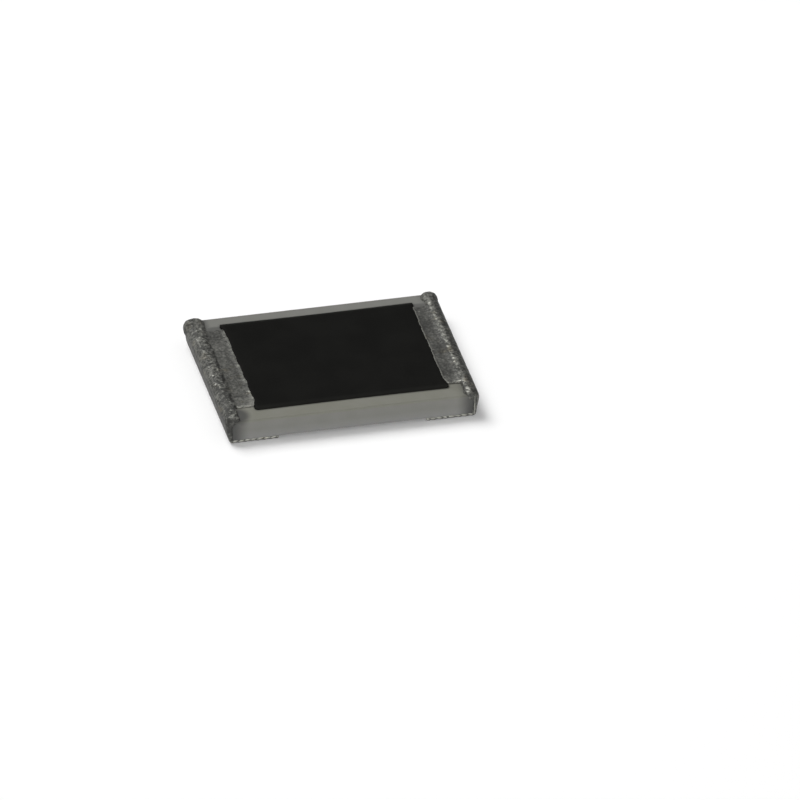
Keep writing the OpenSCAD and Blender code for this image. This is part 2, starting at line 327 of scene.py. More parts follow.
def makeLayerLook(plan, shared):
    material, sheet = newMaterial(plan["name"])
    grain = sheet.noise(spot(sheet), plan["grain"], shared["detail"], shared["bite"])
    dark, light = [grey(level) for level in plan["tones"]]
    tone = sheet.mixColour(grain.ramp(*shared["tones"]), dark, light)
    finishMaterial(sheet, {
        "Base Color": tone, "Roughness": plan["rough"], "Metallic": plan["metal"],
        "Normal": bump(sheet, grain, shared["depth"])})
    return material


def boxOf(node):  # a CAD node's box in millimetres
    low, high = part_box(node)
    return low / mm, high / mm


plateLow, plateHigh = boxOf("ceramic_substrate")
plate = {"end": plateHigh.x, "side": plateHigh.y, "bottom": plateLow.z, "top": plateHigh.z}
looks = {
    "ceramic": makeCeramicLook(ceramicLook, plate),
    "overcoat": makeOvercoatLook(overcoatLook),
    "tin": makeTinLook(tinLook),
}
looks.update({slot: makeLayerLook(plan, layerGrain) for slot, plan in layerLooks.items()})
slotOf = {row["node"]: row["material_slot"] for row in frame["record"]["subparts"]}
for name, node in frame["nodes"].items():
    node.data.materials.clear()
    node.data.materials.append(looks[slotOf[name]])
print("stage: materials")


def newTree(name, sizes, others):  # sizes are names of plain numbers, others go from a name to its kind
    tree = bpy.data.node_groups.new(name, "GeometryNodeTree")
    tree.interface.new_socket("Geometry", in_out="INPUT", socket_type="NodeSocketGeometry")
    for title, kind in {**others, **dict.fromkeys(sizes, "Float")}.items():
        tree.interface.new_socket(title, in_out="INPUT", socket_type="NodeSocket" + kind)
    tree.interface.new_socket("Geometry", in_out="OUTPUT", socket_type="NodeSocketGeometry")
    sheet = Sheet(tree)
    start = tree.nodes.new("NodeGroupInput")
    return sheet, {socket.name: Wire(sheet, socket) for socket in start.outputs if socket.name}


def finishTree(sheet, shape, material):
    whole = sheet.node("GeometryNodeRealizeInstances", None, {"Geometry": shape})
    dressed = sheet.node("GeometryNodeSetMaterial", None, {"Geometry": whole, "Material": material})
    sheet.node("NodeGroupOutput", None, {"Geometry": dressed})


def titled(plan):  # a plan's values under the names that a tree's inputs have: wornTo becomes Worn To
    def title(key):
        return "".join(" " + letter if letter.isupper() else letter for letter in key).title()

    return {title(key): value for key, value in plan.items()}


def useTree(piece, sheet, values):
    step = piece.modifiers.new(sheet.tree.name, "NODES")
    step.node_group = sheet.tree
    for item in sheet.tree.interface.items_tree:
        if item.in_out == "INPUT" and item.name in values:
            step[item.identifier] = values[item.name]


def newPiece(name, corners, faces):
    mesh = bpy.data.meshes.new(name)
    mesh.from_pydata(corners, [], faces)
    piece = bpy.data.objects.new(name, mesh)
    bpy.context.collection.objects.link(piece)
    return piece


def newCopy(piece):
    other = bpy.data.objects.new(piece.name + "Copy", piece.data.copy())
    bpy.context.collection.objects.link(other)
    return other


def settle(piece, scale=(1.0, 1.0, 1.0)):  # the modifiers' result becomes the piece's own plain mesh
    depsgraph = bpy.context.evaluated_depsgraph_get()
    mesh = bpy.data.meshes.new_from_object(piece.evaluated_get(depsgraph))
    piece.modifiers.clear()
    old = piece.data
    piece.data = mesh
    bpy.data.meshes.remove(old)
    mesh.transform(Matrix.Diagonal((*scale, 1.0)))
    if scale[0] * scale[1] * scale[2] < 0:
        mesh.flip_normals()
    return piece


cutPlan = {"sink": 1e-4, "weld": 1e-5}  # cutters lie a little lower, so that no two faces coincide


def cutBy(piece, *cutters):
    for cutter in cutters:
        step = piece.modifiers.new("cut", "BOOLEAN")
        step.operation = "DIFFERENCE"
        step.solver = "MANIFOLD"
        step.object = cutter


def mould(node, plan):  # a CAD node's copy in millimetres, welded to one closed skin
    piece = newCopy(frame["nodes"][node])
    piece.data.transform(Matrix.Translation((0, 0, -plan["sink"])) @ Matrix.Scale(1 / mm, 4))
    weld = piece.modifiers.new("weld", "WELD")
    weld.merge_threshold = plan["weld"]
    return settle(piece)


def dropCrumbs(piece):  # keeps the largest connected part
    mesh = bmesh.new()
    mesh.from_mesh(piece.data)
    waiting = set(mesh.verts)
    parts = []
    while waiting:
        part = {waiting.pop()}
        edge = list(part)
        while edge:
            nearby = {link.other_vert(corner) for corner in edge for link in corner.link_edges}
            edge = list(nearby - part)
            part |= nearby
        waiting -= part
        parts.append(part)
    largest = max(parts, key=len)
    crumbs = [corner for part in parts if part is not largest for corner in part]
    bmesh.ops.delete(mesh, geom=crumbs, context="VERTS")
    mesh.to_mesh(piece.data)
    mesh.free()


def drop(*pieces):
    for piece in pieces:
        bpy.data.objects.remove(piece)


def adopt(piece, node):  # a finished piece in metres stands for a CAD node
    piece.data.transform(Matrix.Scale(mm, 4))
    piece.data.shade_smooth()
    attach(piece, "root")
    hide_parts(node)


platePlan = {
    "round": 0.055, "roundIn": 0.6, "arcs": 7,  # the top edge's height, its inset as a share of that
    "foot": 0.012, "footTurn": 0.3, "corner": 0.02, "cornerArcs": 4, "steps": 60,
}


def roundRectangle(halfX, halfY, radius, steps, arcs):  # points of a rectangle with round corners
    turns = []
    for quarter, (sideX, sideY) in enumerate([(1, 1), (-1, 1), (-1, -1), (1, -1)]):
        middleX = sideX * (halfX - radius)
        middleY = sideY * (halfY - radius)
        angles = [math.radians(90 * (quarter + k / arcs)) for k in range(arcs + 1)]
        turns.append([(middleX + radius * math.cos(a), middleY + radius * math.sin(a)) for a in angles])
    points = []
    for turn, following in zip(turns, turns[1:] + turns[:1]):
        points += turn
        (fromX, fromY), (toX, toY) = turn[-1], following[0]
        shares = [k / steps for k in range(1, steps)]
        points += [(fromX + (toX - fromX) * share, fromY + (toY - fromY) * share) for share in shares]
    return points


def stack(rings):  # a closed skin over rings of points, from the lowest to the highest
    count = len(rings[0])
    corners = [point for ring in rings for point in ring]
    faces = [tuple(reversed(range(count)))]
    for level in range(len(rings) - 1):
        base = level * count
        for k in range(count):
            following = (k + 1) % count
            faces.append((base + k, base + following, base + count + following, base + count + k))
    faces.append(tuple(range(len(corners) - count, len(corners))))
    return corners, faces


def makePlate(plan):
    turn = plan["footTurn"] * plan["foot"]
    rows = [(plan["foot"], plate["bottom"]), (turn, plate["bottom"] + turn)]  # inset and height
    rows += [(0.0, plate["bottom"] + plan["foot"]), (0.0, (plate["bottom"] + plate["top"]) / 2)]
    for k in range(plan["arcs"] + 1):
        angle = math.radians(90 * k / plan["arcs"])
        inset = plan["round"] * plan["roundIn"] * (1 - math.cos(angle))
        rows.append((inset, plate["top"] - plan["round"] * (1 - math.sin(angle))))
    rings = []
    for inset, z in rows:
        halves = (plate["end"] - inset, plate["side"] - inset)
        ring = roundRectangle(*halves, plan["corner"], plan["steps"], plan["cornerArcs"])
        rings.append([(x, y, z) for x, y in ring])
    piece = newPiece("aluminaPlate", *stack(rings))
    piece.data.materials.append(looks["ceramic"])
    return piece


coatLow, coatHigh = boxOf("overcoat")
padLow, padHigh = boxOf("top_electrode_right")
silverLow, silverHigh = boxOf("end_electrode_right")
footLow, footHigh = boxOf("bottom_electrode_right")
tinHigh = boxOf("tin_plating_right")[1]
nickelHigh = boxOf("nickel_barrier_right")[1]
plating = tinHigh.x - silverHigh.x  # from the silver to the outside of the tin
barrier = nickelHigh.x - silverHigh.x

overcoatPlan = {
    "ear": 0.035, "earFrom": -0.14, "earTo": 0.06,  # the ears stand past the pads' sides
    "scallop": 0.026, "scallopPitch": 0.2, "bow": 0.014, "sway": 0.012, "swayPitch": 1.6, "corner": 0.07,
    "shift": 0.018, "spread": 0.022,  # printed a little towards the back, and wider than the CAD overcoat
    "wall": 0.047, "endRun": 0.07, "sideEdge": 0.006, "sideRun": 0.11,
    "calm": 0.7,  # how much lower and smoother the ears are
    "peel": 0.0012, "peelScale": 16.0, "peelSink": 0.9,  # the sink keeps it below the CAD overcoat's top
    "countX": 220, "countY": 200, "seed": 4.0, "endSeed": 7.3, "sideSeed": 5.1,  # each edge has its own jags
}


def drawOvercoat():  # shapes a flat unit slab into the printed, jagged, domed overcoat
    sizes = ["Pad Half", "Ear", "Ear From", "Ear To", "Scallop", "Scallop Pitch", "Bow", "Sway", "Sway Pitch",
             "Corner", "Wall", "Top", "End Run", "Side Edge", "Side Run", "Calm", "Peel", "Peel Scale",
             "Peel Sink", "Seed", "End Seed", "Side Seed"]
    others = {"Material": "Material", "Middle": "Vector", "Half": "Vector"}
    sheet, given = newTree("overcoatPrint", sizes, others)

    def dome(edge, share):  # a quarter round from the edge's height up to the top
        return edge + (given["Top"] - edge) * sheet.most(1.0 - (1.0 - share) ** 2.0, 0.0).root()

    u, v, w = sheet.parts(sheet.node("GeometryNodeInputPosition"))
    halfX, halfY = sheet.parts(given["Half"])[:2]
    tightU = u * (1.5 - u * u * 0.5)  # rows crowd towards the edges
    tightV = v * (1.5 - v * v * 0.5)
    y0 = tightV * halfY
    endSeed = u.sign() * given["End Seed"] + given["Seed"]
    sideSeed = v.sign() * given["Side Seed"] + given["Seed"]
    jag = sheet.noise(sheet.join(y0 / given["Scallop Pitch"], endSeed, 0.0), 1.0, 2.0, 0.7).ramp(0.25, 0.75)
    ear = (abs(y0) - given["Pad Half"]).ramp(given["Ear From"], given["Ear To"])
    reach = halfX - given["Ear"] * (1.0 - ear) - given["Scallop"] * jag * (1.0 - ear * given["Calm"])
    bowed = halfY - given["Bow"] * (1.0 - tightU * tightU)
    sway = sheet.noise(sheet.join(tightU * halfX * given["Sway Pitch"], sideSeed, 0.0), 1.0)
    deep = bowed - sway * given["Sway"]
    x = tightU * reach
    y = tightV * deep
    cornerX = sheet.most(abs(x) - (reach - given["Corner"]), 0.0)
    cornerY = sheet.most(abs(y) - (deep - given["Corner"]), 0.0)
    diagonal = (cornerX * cornerX + cornerY * cornerY).root()
    stretch = sheet.most(cornerX, cornerY) / sheet.most(diagonal, 1e-6)
    inCorner = sheet.least(cornerX, cornerY) > 0.0
    fit = 1.0 + inCorner * (stretch - 1.0)
    roundX = x.sign() * (abs(x) - cornerX * (1.0 - fit))
    roundY = y.sign() * (abs(y) - cornerY * (1.0 - fit))
    fromEnd = sheet.least((reach - abs(roundX)) / given["End Run"], 1.0)
    fromSide = sheet.least((deep - abs(roundY)) / given["Side Run"], 1.0)
    endRise = dome(given["Wall"] * (1.0 - ear * given["Calm"]), fromEnd)
    sideRise = dome(given["Side Edge"], fromSide)
    flat = sheet.join(roundX, roundY, 0.0)
    peel = (sheet.noise(flat, given["Peel Scale"]) - given["Peel Sink"]) * given["Peel"]
    high = (sheet.least(endRise, sideRise) + peel) * w
    shaped = sheet.vector("ADD", sheet.join(roundX, roundY, high), given["Middle"])
    moved = sheet.node("GeometryNodeSetPosition", None, {"Geometry": given["Geometry"], "Position": shaped})
    finishTree(sheet, moved, given["Material"])
    return sheet


def unitSlab(name, countX, countY):  # top a fine grid at w = 1, underside one face at w = 0
    corners = []
    for j in range(countY + 1):
        for i in range(countX + 1):
            corners.append((2 * i / countX - 1, 2 * j / countY - 1, 1.0))
    row = countX + 1
    faces = []
    for j in range(countY):
        for i in range(countX):
            first = j * row + i
            faces.append((first, first + 1, first + row + 1, first + row))
    rim = list(range(row)) + [j * row + countX for j in range(1, countY + 1)]
    rim += [countY * row + i for i in range(countX - 1, -1, -1)] + [j * row for j in range(countY - 1, 0, -1)]
    base = len(corners)
    corners += [(*corners[k][:2], 0.0) for k in rim]
    for k in range(len(rim)):
        following = (k + 1) % len(rim)
        faces.append((rim[following], rim[k], base + k, base + following))
    faces.append(tuple(base + k for k in range(len(rim) - 1, -1, -1)))
    return newPiece(name, corners, faces)


def makeOvercoat(plan):
    piece = unitSlab("overcoatPrint", plan["countX"], plan["countY"])
    middle = (coatLow + coatHigh) / 2
    useTree(piece, drawOvercoat(), {
        **titled(plan), "Material": looks["overcoat"], "Middle": (middle.x, plan["shift"], plate["top"]),
        "Half": ((coatHigh.x - coatLow.x) / 2, coatHigh.y + plan["spread"], 0.0),
        "Pad Half": padHigh.y + plating, "Top": coatHigh.z - plate["top"]})
    return settle(piece)


tinPlan = {
    "bulge": 0.13, "crown": 0.028, "toe": 0.045, "toeReach": 0.03,  # radii of the silver roll
    "domes": (0.09, 0.18), "brow": 0.08, "domeSteps": 12, "domeLeast": 0.06, "arcs": 14,  # round ends
    "axisDepth": 0.08, "lap": -0.01, "overlap": 0.02, "squareTo": 0.26, "squareBlend": 0.16,
    "slope": 0.06, "slopeDepth": 0.03, "slopeTop": (0.03, 0.08), "slopeBelow": 0.001,  # from roll to pad
    "depth": 0.009, "voxel": 0.0102, "softWeight": 0.9,  # mean depth of the tin's relief, and its fineness
    "lump": 0.006, "padGrain": 0.0035, "rope": 0.007, "ropePitch": 0.11, "ropeOut": 0.009, "ropeFuzz": 0.006,
    "ropeLean": 1.1, "ropeStray": 0.09,
    "scales": {  # noise per mm
        "lump": 6.5, "grain": 15.0, "padGrain": 30.0, "small": 42.0, "rim": 11.0, "groove": 7.0,
        "wobble": 6.0, "rope": 5.0, "ridge": 10.0, "mottle": 11.0, "blotch": 9.0},
    "blends": {  # where a change begins and ends, in mm from the edge that it follows
        "bead": (-0.01, 0.025), "rear": (0.01, 0.05), "foot": (0.0, 0.04), "endFace": (0.0, 0.05),
        "crest": (0.015, 0.075), "crestFrom": 0.05, "lip": 0.006, "brink": (-0.045, -0.015),
        "brinkEnd": (0.01, 0.03), "ditch": (0.01, 0.06), "ditchFrom": -0.004, "wall": (0.01, 0.05),
        "wallFoot": (-0.004, 0.012), "strip": (-0.03, -0.01), "stripTop": (0.0, 0.03),
        "stripEnd": (-0.03, 0.01), "endShade": (-0.06, 0.0), "rearWall": (0.05, 0.1),
        "seam": (0.004, 0.014), "seamFrom": 0.008},
    "places": {  # the same, in mm from the chip's middle or the floor
        "rearFade": (1.1, 1.3), "wornFade": (1.1, 1.4), "margin": (1.04, 1.1), "front": (0.85, 1.0),
        "tip": (1.42, 1.5), "seam": (1.6, 1.606), "rearWall": (1.0, 1.25), "lift": (0.012, 0.026)},
    "facing": {  # the same, in the skin's outward direction
        "upward": (0.2, 0.8), "rear": (0.3, 0.7), "shoulderOut": (0.45, 0.8), "shoulderUp": (0.05, 0.4)},
    "shares": {  # how each shapes the relief
        "lump": 2.4, "small": 0.6, "grainMiddle": 0.35, "padGrainMiddle": 0.4, "endCalm": 0.55,
        "uneven": (0.4, 1.2), "groove": (0.48, 0.62), "wobble": (0.38, 0.68), "twist": (0.25, 0.5)},
    "tones": {  # what each adds to the brightness, much of it painted shade and painted highlight
        "relief": 1 / 0.018, "middle": 0.5, "endShade": 0.05, "groove": 70.0, "front": 0.2, "mottle": 0.8,
        "margin": 0.14, "rim": 60.0, "brink": 0.5, "rear": 0.3, "strip": 1.4, "twist": 0.4, "under": 0.3},
    "wears": {  # what each adds to the crystals and the rubbed metal, and to painted highlights on rims, edges, the seam and the tips; the shaded ends take some away
        "full": 0.4, "rim": 0.6, "brink": 1.5, "strip": 2.5, "twist": 1.3, "endShade": 0.6, "seam": 2.5,
        "tip": 0.2},
}
tinEnds = {  # each end's own relief and tones: lumps are middle x, y, z and three radii
    -1: {"name": "tinLeft", "node": "tin_plating_left", "seed": 3.7, "soften": 12,
         "rim": 0.004, "rimWidth": 0.1, "wobble": 0.04, "groove": 0.012, "ridge": 0.0, "grain": 0.0055,
         "wornTo": 0.24, "seam": 0.0, "padTone": -0.08, "beadTone": -0.3, "outer": 0.0, "rearTone": 0.15,
         "shoulder": 0.5, "blotch": 1.5,
         "lumps": [(2.07, 1.465, 0.36, 0.195, 0.16, 0.17), (2.06, 1.33, 0.36, 0.175, 0.26, 0.156),
                   (2.115, -1.465, 0.4, 0.13, 0.135, 0.107)]},
    1: {"name": "tinRight", "node": "tin_plating_right", "seed": 11.2, "soften": 12,
        "rim": 0.011, "rimWidth": 0.04, "wobble": 0.014, "groove": 0.0, "ridge": 0.002, "grain": 0.007,
        "wornTo": 0.16, "seam": 1.0, "padTone": -0.3, "beadTone": -0.02, "outer": 0.25, "rearTone": 0.38,
        "shoulder": 0.15, "blotch": 0.4,
        "lumps": [(2.085, 1.472, 0.368, 0.162, 0.153, 0.15), (2.09, -1.485, 0.385, 0.14, 0.125, 0.112)]},
}


def hull(points):  # outline of the smallest convex shape round the points
    points = sorted(set(points))

    def chain(row):
        kept = []
        for p in row:
            while len(kept) > 1 and ((kept[-1][0] - kept[-2][0]) * (p[1] - kept[-2][1])
                                     - (kept[-1][1] - kept[-2][1]) * (p[0] - kept[-2][0])) <= 1e-9:
                kept.pop()
            kept.append(p)
        return kept[:-1]

    return chain(points) + chain(points[::-1])


def rollSection(plan, grow):  # the roll's outline in x and z, grow outside the silver
    crest = silverHigh.z
    foot = footLow.z
    inner = silverLow.x
    circles = [(silverHigh.x - plan["bulge"], crest - plan["bulge"], plan["bulge"]),
               (inner + plan["crown"], crest - plan["crown"], plan["crown"]),
               (plate["end"] + plan["toeReach"] - plan["toe"], foot + plan["toe"], plan["toe"])]
    points = []
    for middleX, middleZ, radius in circles:
        for k in range(4 * plan["arcs"]):
            angle = math.radians(90 * k / plan["arcs"])
            x = middleX + (radius + grow) * math.cos(angle)
            z = middleZ + (radius + grow) * math.sin(angle)
            points.append((round(x, 6), round(z, 6)))
    points.append((inner - grow, foot - grow))
    outline = [(x, z) for x, z in hull(points) if x > plate["end"] or z > plate["top"]]

    def starts(k):  # the outline comes out from under the plate here
        return outline[k - 1][0] < plate["end"] < outline[k][0] and outline[k][1] < plate["top"]

    first = next(k for k in range(len(outline)) if starts(k))
    lapX = plate["end"] + plan["lap"]
    lapZ = plate["top"] - plan["overlap"]
    return outline[first:] + outline[:first] + [(inner - grow, lapZ), (lapX, lapZ), (lapX, foot - grow)]


def domeStations(plan, side, length):  # places towards one round end, with the section's width and height
    places = []
    for k in range(plan["domeSteps"] + 1):
        angle = math.radians(90 * k / plan["domeSteps"])
        inset = length * (1 - math.cos(angle))
        sunk = max(0.0, 1 - inset / plan["brow"])
        wide, tall = [max(plan["domeLeast"], share) for share in (math.sin(angle), math.sqrt(1 - sunk ** 2))]
        places.append((side - inset, wide, tall))
    return places


def roll(plan, grow):  # the roll drawn along the chip's end, closing in domes at both sides
    section = rollSection(plan, grow)[::-1]
    side = plate["side"] + grow
    axisX = plate["end"] + plan["lap"]
    axisZ = plate["top"] - plan["axisDepth"]
    front, back = [domeStations(plan, side, length) for length in plan["domes"]]
    stations = [(-y, wide, tall) for y, wide, tall in front] + back[::-1]
    reach = max(x for x, z in section) - axisX
    rings = []
    for y, wide, tall in stations:
        ring = []
        for x, z in section:
            lifted = z if z < axisZ else axisZ + (z - axisZ) * tall
            drawn = (x - axisX) * wide
            upper = min(1.0, max(0.0, (z - plan["squareTo"]) / plan["squareBlend"]))
            if x > axisX:
                drawn += (min(x - axisX, reach * wide) - drawn) * (1 - upper)  # the lower half stays square
            ring.append((axisX + drawn, y, lifted))
        rings.append(ring)
    return stack(rings)


def block(low, high):
    outline = [(low[0], low[1]), (high[0], low[1]), (high[0], high[1]), (low[0], high[1])]
    return stack([[(x, y, z) for x, y in outline] for z in (low[2], high[2])])


def slope(plan, grow):  # the roll's inner side runs down gently to the pad
    wall = silverLow.x - grow
    padTop = padHigh.z + grow
    half = padHigh.y + grow
    outer = wall - plan["slope"]
    bottom = padTop - plan["slopeDepth"]
    top = silverHigh.z + grow - plan["slopeBelow"]
    topFrom, topTo = [wall + run for run in plan["slopeTop"]]
    section = [(outer, bottom), (outer, padTop), (topFrom, top), (topTo, top), (topTo, bottom)]
    return stack([[(x, y, z) for x, z in section] for y in (-half, half)])


def ball(middle, radii, boxy=0.85, steps=16):  # a ball that is a little boxy
    def swell(value):
        return math.copysign(abs(value) ** boxy, value)

    turns = [math.tau * j / (2 * steps) for j in range(2 * steps)]
    rings = []
    for k in range(1, steps):
        tilt = math.pi * (k / steps - 0.5)
        flat = swell(math.cos(tilt))
        z = middle[2] + radii[2] * swell(math.sin(tilt))
        rings.append([(middle[0] + radii[0] * flat * swell(math.cos(turn)),
                       middle[1] + radii[1] * flat * swell(math.sin(turn)), z) for turn in turns])
    return stack(rings)


def endBodies(plan, grow, footGrow):  # one end's metal, filled: roll, pad and foot, grow outside the silver
    middle = (plate["bottom"] + plate["top"]) / 2
    outer = plate["end"] + plan["overlap"]
    padHalf = padHigh.y + grow
    footHalf = footHigh.y + grow
    pad = block((padLow.x, -padHalf, middle), (outer, padHalf, padHigh.z + grow))
    foot = block((footLow.x - grow, -footHalf, footLow.z - footGrow), (outer, footHalf, middle))
    return [roll(plan, grow), pad, foot]


def joined(name, bodies):
    corners = []
    faces = []
    for points, sides in bodies:
        base = len(corners)
        corners += points
        faces += [tuple(base + k for k in face) for face in sides]
    return newPiece(name, corners, faces)


def drawTinSkin(plan):  # lumps, grains, rims and the roped foot of the plated tin
    scales = plan["scales"]
    blends = plan["blends"]
    places = plan["places"]
    facing = plan["facing"]
    shares = plan["shares"]
    tones = plan["tones"]
    wears = plan["wears"]
    sizes = ["Seed", "Lump", "Grain", "Pad Grain", "Rim", "Rim Width", "Wobble", "Groove", "Ridge",
             "Worn To", "Seam", "Pad Tone", "Bead Tone", "Outer", "Rear Tone", "Shoulder", "Blotch",
             "Rope", "Rope Pitch", "Rope Out", "Rope Fuzz", "Rope Lean", "Rope Stray", "Soft Weight",
             "Bead Wall", "Plate End", "Pad Half", "Pad Top", "Foot Half", "Foot Top"]
    sheet, given = newTree("tinSkin", sizes, {
        "Material": "Material", "Overcoat": "Object", "Soften": "Int", "Low": "Vector", "High": "Vector"})
    beadWall = given["Bead Wall"]
    plateEnd = given["Plate End"]
    padHalf = given["Pad Half"]
    footTop = given["Foot Top"]
    soft = sheet.node("GeometryNodeBlurAttribute", {"data_type": "FLOAT_VECTOR"}, {
        0: sheet.node("GeometryNodeInputPosition"), "Iterations": given["Soften"],
        "Weight": given["Soft Weight"]})
    eased = sheet.node("GeometryNodeSetPosition", None, {"Geometry": given["Geometry"], "Position": soft})
    place = sheet.node("GeometryNodeInputPosition")
    outward = sheet.node("GeometryNodeInputNormal")
    x, y, z = sheet.parts(place)
    outX, outY, outZ = sheet.parts(outward)
    upward = outZ.ramp(*facing["upward"])
    shifted = sheet.vector("ADD", place, sheet.join(given["Seed"], given["Seed"], given["Seed"]))

    def noise(name, detail=2.0):
        return sheet.noise(shifted, scales[name], detail)

    def past(value, edge, name):  # 0 to 1 over a blend that follows an edge
        low, high = blends[name]
        return value.ramp(edge + low, edge + high)

    def along(line, name):  # 1 on a line across the chip, 0 beside it
        return 1.0 - abs(x - line).ramp(*blends[name])

    def uneven(name):
        least, swing = shares["uneven"]
        return least + noise(name) * swing

    # grain and lumps of the beads
    lump = (noise("lump") - 0.5) * shares["lump"]
    grain = sheet.cells(shifted, scales["grain"]) - shares["grainMiddle"]
    small = noise("small") - 0.5
    behind = past(y, padHalf, "rear")  # the back tips lie past the pads
    aboveFoot = past(z, footTop, "foot")
    bead = sheet.most(past(x, beadWall, "bead"), behind) * aboveFoot
    endFace = (1.0 - upward) * (x - plateEnd).ramp(*blends["endFace"])
    calm = 1.0 - endFace * shares["endCalm"]  # the end face is smoother
    rough = lump * given["Lump"] + grain * given["Grain"] + small * given["Grain"] * shares["small"]
    rough = bead * calm * rough
    crest = along(beadWall + blends["crestFrom"], "crest")
    ridge = bead * upward * crest * uneven("ridge") * given["Ridge"]

    # the pads: grain, a rim along the overcoat and the front edge, a broken groove along the bead
    pad = (1.0 - bead) * aboveFoot
    padGrain = sheet.cells(shifted, scales["padGrain"]) - shares["padGrainMiddle"] + small
    coat = sheet.node("GeometryNodeObjectInfo", None, {"Object": given["Overcoat"]}, out=4)
    plugs = {0: coat, "Sample Position": place}
    near = sheet.node("GeometryNodeProximity", {"target_element": "FACES"}, plugs, out=1)
    lip = 1.0 - near.ramp(blends["lip"], given["Rim Width"])
    brink = past(-y, padHalf, "brink") * (1.0 - past(-y, padHalf, "brinkEnd"))  # the pads' front edge
    rim = sheet.most(lip, brink) * upward * uneven("rim")
    ditch = along(beadWall + blends["ditchFrom"], "ditch")
    notRear = 1.0 - y.ramp(*places["rearFade"])
    broken = noise("groove", 3.0).ramp(*shares["groove"]) * notRear
    margin = y.ramp(*places["margin"])  # the pads' back edge is smooth
    speckled = padGrain * (1.0 - margin) * given["Pad Grain"]
    fine = pad * (speckled + rim * given["Rim"] - ditch * broken * upward * given["Groove"])
    wall = along(beadWall, "wall") * past(z, given["Pad Top"], "wallFoot")
    wobble = wall * noise("wobble", 3.0).ramp(*shares["wobble"]) * notRear * given["Wobble"]

    # the roped strips along the bottom pads
    strip = past(abs(y), given["Foot Half"], "strip") * (1.0 - past(z, footTop, "stripTop"))
    strip = strip * (1.0 - past(x, plateEnd, "stripEnd"))
    stray = (noise("rope", 1.0) - 0.5) * given["Rope Stray"]
    twist = ((x + z * given["Rope Lean"] + stray) * (math.tau / given["Rope Pitch"])).wave()
    swell = twist * shares["twist"][1] + shares["twist"][0]
    rope = strip * (given["Rope Out"] + swell * given["Rope"] + small * given["Rope Fuzz"])

    # all of it pushes the skin out, and the CAD box holds it
    total = rough + fine + rope + ridge
    push = sheet.node("ShaderNodeVectorMath", {"operation": "SCALE"}, {0: outward, "Scale": total})
    push = sheet.vector("ADD", push, sheet.join(-wobble, 0.0, 0.0))
    moved = sheet.node("GeometryNodeSetPosition", None, {"Geometry": eased, "Offset": push})
    held = sheet.vector("MAXIMUM", sheet.node("GeometryNodeInputPosition"), given["Low"])
    held = sheet.vector("MINIMUM", held, given["High"])
    kept = sheet.node("GeometryNodeSetPosition", None, {"Geometry": moved, "Position": held})

    # brightness for the material: pits darker and peaks paler from the relief, then what sets pads, beads and
    # strips apart, with painted shade and painted highlights
    endShade = (1.0 - upward) * (x - plateEnd).ramp(*blends["endShade"])  # painted shade: faces at the ends that do not look up are darker and plainer
    level = total * tones["relief"] + tones["middle"] - endShade * tones["endShade"]
    # painted shade: the broken groove beside the bead is darkened in colour as well
    level = level - ditch * broken * given["Groove"] * tones["groove"]
    mottle = (noise("mottle") - 0.5) * tones["mottle"] * (1.0 - margin) - margin * tones["margin"]
    mottle = mottle + (-y).ramp(*places["front"]) * tones["front"]  # paler towards the pads' front
    # painted highlight: the pads' rim along the overcoat is made paler
    level = level + pad * upward * (given["Pad Tone"] + lip * given["Rim"] * tones["rim"] + mottle)
    # painted light: the pads' front walls, which face away from the key light, are made paler
    level = level + pad * brink * (1.0 - upward) * tones["brink"]
    fromWall = x - beadWall
    inward = 1.0 - fromWall.ramp(given["Worn To"] * wears["full"], given["Worn To"])
    inward = inward * (1.0 - y.ramp(*places["wornFade"]))
    # painted shade: the outer half of the right bead, and bead faces that look back, are darkened
    outer = (1.0 - inward) * given["Outer"] * upward
    level = level + bead * (given["Bead Tone"] - outY.ramp(*facing["rear"]) * tones["rear"] - outer)
    # painted light: the inner side of the beads' back tips is made paler; the blotches are the tin's own
    # uneven tone
    rearWall = y.ramp(*places["rearWall"]) * (1.0 - fromWall.ramp(*blends["rearWall"]))
    level = level + bead * (rearWall * given["Rear Tone"] + (noise("blotch") - 0.5) * given["Blotch"])
    # painted light: bead shoulders that face out and up are made paler
    shoulder = outX.ramp(*facing["shoulderOut"]) * outZ.ramp(*facing["shoulderUp"])
    level = level + bead * shoulder * given["Shoulder"]
    lift = z.ramp(*places["lift"])  # painted shade: the strips are darker along the floor
    level = level + strip * ((twist * tones["twist"] + tones["strip"]) * lift - tones["under"] - level)

    # wear and painted light for the material: where crystals lie thick and metal is rubbed bare, and painted
    # highlights on rims, edges, the seam and the tips
    # painted light: the beads' front tips are made paler
    tip = bead * (-y).ramp(*places["tip"]) * upward
    # painted highlight: a thin bright line up the right end's front edge
    seam = along(plateEnd + blends["seamFrom"], "seam") * (-y).ramp(*places["seam"]) * given["Seam"]
    edges = sheet.most(rim * wears["rim"], brink * wears["brink"])
    wear = upward * sheet.most(bead * inward, pad * edges) + pad * brink * (1.0 - upward)
    wear = wear + strip * lift * (twist * wears["twist"] + wears["strip"])
    wear = wear - endShade * wears["endShade"] + seam * wears["seam"] + tip * wears["tip"]
    for name, value in {"relief": level, "wear": wear}.items():
        kept = sheet.node("GeometryNodeStoreNamedAttribute", {"data_type": "FLOAT", "domain": "POINT"}, {
            "Geometry": kept, "Name": name, "Value": value})
    finishTree(sheet, kept, given["Material"])
    return sheet


tinSkin = drawTinSkin(tinPlan)


